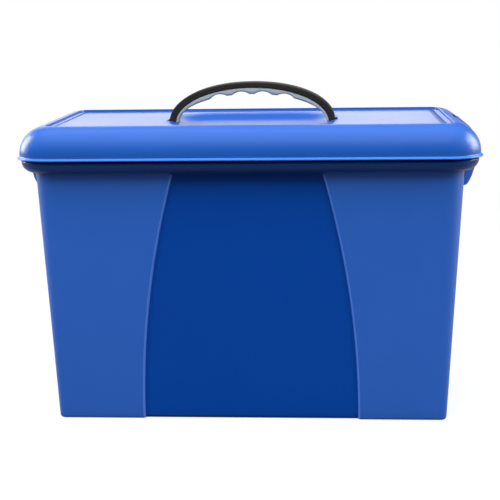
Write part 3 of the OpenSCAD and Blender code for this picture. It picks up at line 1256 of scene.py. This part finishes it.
@dataclass
class Latch:
    """A side latch: a curved plate on a hinge barrel, with a hook that reaches under the rim.

    The plate stands proud of the lid's dome, and its inside follows the rim's roll.
    """

    lid: Lid
    side: Side
    width: float = 94.0
    barrel_r: float = 3.4
    thickness: float = 2.8
    proud: float = 0.9
    roll_x: float = 207.9
    roll_z: float = 260.0
    round_r: float = 11.5
    neck_z: float = 249.0

    def outline(self) -> list[Point2]:
        """Return the latch's outline in X and Z.

        Returns:
            The points: down the top's inside and the plate's, round the rim and the hook, and up the outside.
        """
        dx, dz, face = self.lid.dome_x, self.lid.dome_z, self.lid.dome_r + self.proud
        hook = ((3.5, -0.8), (2.7, -6.5), (1.6, -13.5), (0.1, -19.0), (0.2, -20.1), (0.7, -21.0),
                (1.9, -21.3), (3.2, -21.0), (4.3, -20.3), (5.3, -19.2), (6.1, -17.9), (7.6, -14.9),
                (9.1, -11.6), (10.1, -8.0), (11.4, -4.2), (13.4, 0.0), (14.1, 2.3), (14.4, 4.5), (14.4, 10.0))
        return (arc(dx, dz, self.lid.dome_r - 3.6, 54, 40, 4)
                + arc(dx, dz, face - self.thickness, 34, 0, 14)
                + [(self.roll_x + self.round_r, self.roll_z + 3.0)]
                + arc(self.roll_x, self.roll_z, self.round_r, 0, -58, 14)
                + [(self.roll_x + x, self.neck_z + z) for x, z in hook]
                + arc(dx, dz, face, 0, 50, 20))

    def in_shade(self, centre: Vector) -> bool:
        """Tell whether a face is on the inside of the latch's top.

        Args:
            centre: The face's centre, in millimetres.

        Returns:
            Whether it is.
        """
        out = math.hypot(abs(centre.x) - self.lid.dome_x, centre.z - self.lid.dome_z)
        return centre.z > self.lid.pin_z - 6.0 and out < self.lid.dome_r + self.proud - 0.7

    def build(self, finishes: Finishes) -> None:
        """Build and dress the latch.

        Args:
            finishes: The materials.
        """
        half = self.width / 2
        flip = self.side is Side.LEFT
        latch = prism("latch_%s_body" % self.side.word, self.outline(), -half, half, flip)
        turned = arc(self.lid.pin_x, self.lid.pin_z, self.barrel_r, 0, 345, 23)
        carve(latch, [prism("barrel", turned, -half, half, flip)], operation="UNION")
        soften(latch, Edge.MOULDED, angle=38.0, steps=3)
        # Its two ends get a brighter copy that paints their highlight, and the inside of its top a darker
        # copy that paints its shade
        paint(latch, 1, lambda centre, normal: abs(normal.y) > 0.7)
        paint(latch, 2, lambda centre, normal: self.in_shade(centre))
        dress(latch, [finishes.latch, finishes.edge, finishes.recess], self.side.word + "_latch",
              ["latch_" + self.side.word])


@dataclass
class Handle:
    """The handle: a black strap bent to an oval arch, lined with a grey grip that has four finger hollows.

    The outer, inner and grip sizes are half the length and the height of their ovals. The fullness is the
    outer oval's, the pitch is between two finger hollows, and the seat is the grip's depth under the tray.
    """

    base_z: float = 287.3
    outer: Point2 = (84.2, 40.4)
    fullness: float = 2.11
    inner: Point2 = (77.3, 34.8)
    grip: Point2 = (75.4, 28.5)
    strap_half: float = 11.0
    grip_half: float = 10.5
    leg_z: Point2 = (276.8, 282.0)
    head_z: float = 277.8
    head_half: float = 13.0
    pitch: float = 21.4
    finger_r: float = 13.6
    finger_cut: float = 2.8
    tray_z: float = 290.3
    seat: float = 2.1

    def oval(self, size: Point2, turn: float, fullness: float = 2.0) -> Point2:
        """Return a point on an oval about the arch's middle.

        Args:
            size: The oval's half length and height.
            turn: The angle, in radians.
            fullness: 2 for an ellipse, more for fuller shoulders.

        Returns:
            The point in X and Z.
        """
        c, s = math.cos(turn), math.sin(turn)
        grow = (abs(c) ** fullness + abs(s) ** fullness) ** (-1 / fullness)
        return size[0] * c * grow, self.base_z + size[1] * s * grow

    def scallop(self, x: float) -> float:
        """Return the height of the grip's underside.

        Args:
            x: The place along the handle.

        Returns:
            The height, with the finger hollows.
        """
        a, b = self.grip
        height = self.base_z + b * math.sqrt(max(0.0, 1 - (x / a) ** 2))
        for finger in (-1.5, -0.5, 0.5, 1.5):
            cx = finger * self.pitch
            if abs(x - cx) < self.finger_r:
                cz = self.base_z + b * math.sqrt(1 - (cx / a) ** 2) + self.finger_cut - self.finger_r
                height = max(height, cz + math.sqrt(self.finger_r ** 2 - (x - cx) ** 2))
        return height

    @staticmethod
    def section(half: float, top: float, low: float, rise: float) -> list[Point2]:
        """Return a rounded section as places across the thickness and along Y.

        Args:
            half: Half the width.
            top: Radius of the outer corners.
            low: Radius of the inner corners.
            rise: The thickness.

        Returns:
            The points: 0 is inside and 1 outside, then Y.
        """
        top, low = min(top, rise * 0.45), min(low, rise * 0.45)
        points: list[Point2] = []
        for cy, cs, r, start in ((half - low, low, low, -90), (half - top, rise - top, top, 0),
                                 (-half + top, rise - top, top, 90), (-half + low, low, low, 180)):
            points += [(z / rise, y) for y, z in arc(cy, cs, r, start, start + 90, 5)]
        return points

    def band(self, name: str, pairs: list[tuple[Point2, Point2]], half: float, top: float,
             low: float) -> bpy.types.Object:
        """Sweep a rounded section between an inner and an outer line.

        Args:
            name: The object's name.
            pairs: Inner and outer points.
            half: Half the width.
            top: Radius of the outer corners.
            low: Radius of the inner corners.

        Returns:
            The band.
        """
        rings = []
        for (x, z), outer in pairs:
            dx, dz = outer[0] - x, outer[1] - z
            section = self.section(half, top, low, math.hypot(dx, dz))
            rings.append([(x + dx * part, y, z + dz * part) for part, y in section])
        return loft(name, rings)

    def strap(self) -> bpy.types.Object:
        """Build the strap with its legs and heads.

        Returns:
            The strap.
        """
        turns = [0.0] + stages(0.0, math.pi, 72)
        legs = [((self.inner[0], z), (self.outer[0], z)) for z in self.leg_z]
        arch = [(self.oval(self.inner, t), self.oval(self.outer, t, self.fullness)) for t in turns]
        others = [((-a[0], a[1]), (-b[0], b[1])) for a, b in reversed(legs)]
        strap = self.band("strap_band", legs + arch + others, self.strap_half, 1.5, 0.8)
        shape = ((77.6, -5.8), (84.6, -5.8), (85.8, -2.0), (85.8, 0.0), (76.6, 0.0), (76.6, -2.0))
        for sign in (-1, 1):
            outline = [(sign * x, self.head_z + up) for x, up in shape]
            head = prism("head", outline, -self.head_half, self.head_half)
            soften(head, Edge.MOULDED, angle=30.0)
            merge(strap, [head])
        return strap

    def lining(self) -> bpy.types.Object:
        """Build the grip.

        Returns:
            The grip.
        """
        foot = self.tray_z - self.seat
        start = math.asin((foot - self.base_z) / self.inner[1])
        turns = [start] + stages(start, math.pi - start, 180)
        edges = [self.grip[0] * math.cos(t) for t in turns]
        pairs = [((x, max(self.scallop(x), foot)), self.oval(self.inner, t)) for x, t in zip(edges, turns)]
        return self.band("grip_lining", pairs, self.grip_half, 0.4, 2.2)

    def build(self, finishes: Finishes) -> None:
        """Build and dress the handle.

        Args:
            finishes: The materials.
        """
        dress(self.strap(), [finishes.strap], "handle", ["handle_strap"], crease=40.0)
        dress(self.lining(), [finishes.grip], "handle", ["handle_grip"], crease=50.0)


@dataclass
class Fittings:
    """The small parts whose solids stay as they are: rails, keepers and hinge pins."""

    crease: float = 30.0

    def build(self, finishes: Finishes) -> None:
        """Give each of them its material.

        Args:
            finishes: The materials.
        """
        wanted = {"file_rail": finishes.rail, "strap_keeper": finishes.strap, "latch_pin": finishes.pin}
        for stem, material in wanted.items():
            for side in Side:
                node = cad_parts["%s_%s" % (stem, side.word)]
                node.data.materials.clear()
                node.data.materials.append(material)
                node.data.set_sharp_from_angle(angle=math.radians(self.crease))
                log.info("%s keeps its solid, with %s", node.name, material.name)


# Floor, lights and camera


@dataclass
class Studio:
    """The floor, the lights and the camera.

    The camera's place and the floor are in millimetres, its angles in radians, and the lamps in metres.
    """

    eye: Point3 = (73.26, -1222.03, 402.25)
    yaw: float = -0.06372
    pitch: float = 0.20042
    roll: float = -0.0142
    focal_px: float = 1198.24
    frame_px: float = 500.0
    sensor_mm: float = 36.0
    ambient: float = 0.02
    ceiling: float = 1.0
    behind: float = 0.8
    middle: Point3 = (0.0, 0.0, 0.2)
    floor_half: float = 6000.0
    floor_drop: float = 0.3

    def camera(self) -> None:
        """Set the camera as it stands in the photograph."""
        data = bpy.data.cameras.new("camera")
        data.sensor_width = self.sensor_mm
        data.lens = self.focal_px / self.frame_px * self.sensor_mm
        data.clip_start, data.clip_end = 0.05, 30.0
        made = bpy.data.objects.new("camera", data)
        bpy.context.scene.collection.objects.link(made)
        aside, forward = math.sin(self.yaw), math.cos(self.yaw)
        ahead = Vector((aside * math.cos(self.pitch), forward * math.cos(self.pitch), -math.sin(self.pitch)))
        level = Vector((forward, -aside, 0.0))
        above = level.cross(ahead)
        right = level * math.cos(self.roll) + above * math.sin(self.roll)
        up = above * math.cos(self.roll) - level * math.sin(self.roll)
        turn = Matrix((right, up, -ahead)).transposed().to_4x4()
        made.matrix_world = Matrix.Translation(Vector(self.eye) * MM) @ turn
        bpy.context.scene.camera = made

    def lamp(self, name: str, place: Point3, size: Point2, power: float, mirrored: bool = True,
             lighting: bool = True) -> None:
        """Add a soft lamp that points at the box and that the camera doesn't see.

        Args:
            name: The lamp's name.
            place: Where it stands, in metres.
            size: Its width and height, in metres.
            power: Its power in watts.
            mirrored: Whether gloss shows it.
            lighting: Whether it lights matt surfaces too.
        """
        data = bpy.data.lights.new(name, "AREA")
        data.shape = "RECTANGLE"
        data.size, data.size_y = size
        data.energy = power
        made = bpy.data.objects.new(name, data)
        made.location = place
        made.rotation_euler = (Vector(self.middle) - Vector(place)).to_track_quat("-Z", "Y").to_euler()
        made.visible_camera = False
        made.visible_glossy = mirrored
        made.visible_diffuse = lighting
        bpy.context.scene.collection.objects.link(made)

    def lights(self) -> None:
        """Light the box softly from above, in front and behind."""
        world = bpy.data.worlds.new("studio")
        bpy.context.scene.world = world
        graph = Graph(world)
        sky = graph.node("ShaderNodeTexCoord", {}, {}, "Generated")
        way = graph.node("ShaderNodeSeparateXYZ", {}, {0: sky}, "Z")
        back = Signal(graph, way.socket.node.outputs["Y"])
        camera, glossy, through = graph.rays()
        # A pale ceiling for all rays but the camera's, and a low backdrop that only gloss and glass show
        room = self.ambient + way.step(0.25, 0.95) * self.ceiling
        low = 1.0 - way.step(0.02, 0.26)
        backdrop = (glossy + through) * back.step(-0.2, 0.5) * low * self.behind
        strength = camera + (1.0 - camera) * (room + backdrop)
        light = graph.node("ShaderNodeBackground", {}, {"Color": WHITE, "Strength": strength})
        graph.surface(light, "ShaderNodeOutputWorld")
        self.lamp("overhead", (-0.1, -0.2, 2.6), (3.2, 2.6), 48.0)
        self.lamp("front_high", (0.0, -1.4, 2.3), (2.8, 1.6), 33.0, mirrored=False)
        self.lamp("back_soft", (-0.72, 2.35, 0.98), (2.55, 0.86), 16.6)
        self.lamp("left_back", (-2.02, 0.85, 0.92), (0.9, 1.2), 66.0, lighting=False)
        self.lamp("right_back", (2.15, 0.52, 1.02), (1.3, 1.25), 104.0, lighting=False)
        for side in Side:
            self.lamp("%s_front" % side.word, (side.value * 2.1, -1.3, 1.7), (1.0, 1.2), 20.0, mirrored=False)
            self.lamp("%s_end" % side.word, (side.value * 2.3, 0.3, 1.1), (1.2, 1.4), 16.0, mirrored=False)

    def floor(self) -> None:
        """Lay the floor."""
        half = self.floor_half
        corners = ((-half, -half), (half, -half), (half, half), (-half, half))
        shell = Shell()
        shell.cap(shell.loop((x, y, 0.0) for x, y in corners))
        floor = shell.piece("floor")
        floor.location.z = -self.floor_drop * MM
        floor.data.materials.append(FloorPaper().build())

    def build(self) -> None:
        """Set up the whole studio."""
        self.camera()
        self.lights()
        self.floor()
        bpy.context.scene.view_settings.view_transform = "Standard"


# The whole scene


def main() -> None:
    """Build every sub-assembly in order."""
    logging.basicConfig(level=logging.INFO, format="%(name)s: %(message)s")
    Studio().build()
    finishes = Finishes.make()
    Tub().build(finishes)
    lid = Lid()
    lid.build(finishes)
    for side in Side:
        Latch(lid, side).build(finishes)
    Handle().build(finishes)
    Fittings().build(finishes)


if __name__ == "__main__":
    main()
